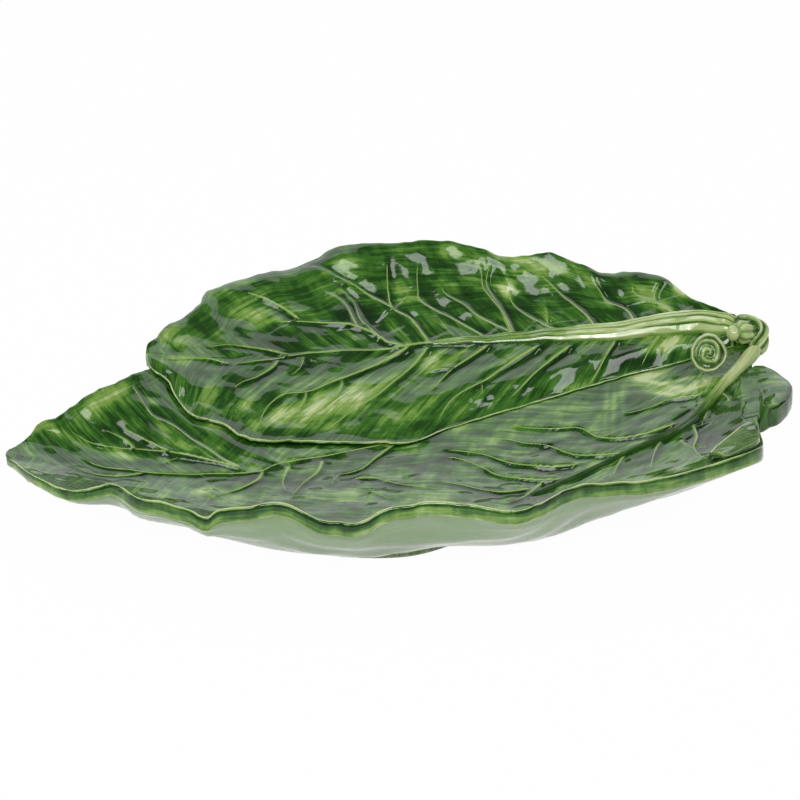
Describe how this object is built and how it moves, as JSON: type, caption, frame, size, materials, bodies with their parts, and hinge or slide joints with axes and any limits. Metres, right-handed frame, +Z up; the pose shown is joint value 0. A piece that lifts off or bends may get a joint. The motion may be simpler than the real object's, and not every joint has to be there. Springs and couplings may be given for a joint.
{
  "type": "leaf platter",
  "caption": "Long shallow serving platter shaped as overlapping cabbage leaves with a ruffled rim, raised veins, a foot ring and a rolled stalk end",
  "frame": {"origin": "middle of the overall length and width, on the table under the foot ring", "axes": "+X along the length towards the stalk end, +Y towards the high back rim, +Z up"},
  "size_m": [0.38, 0.2845, 0.0622],
  "materials": {
    "green_glaze": "gloss",
    "pale_glaze": "gloss",
    "stalk_glaze": "gloss"
  },
  "bodies": {
    "root": {"lower_leaf": "green_glaze", "upper_leaf": "green_glaze", "foot_ring": "pale_glaze", "upper_leaf_stalk": "stalk_glaze", "lower_leaf_stalk": "stalk_glaze", "stalk_knuckle": "stalk_glaze", "stalk_curl": "stalk_glaze", "bud": "stalk_glaze", "stalk_lobe": "green_glaze", "folded_lip": "green_glaze"}
  },
  "joints": []
}
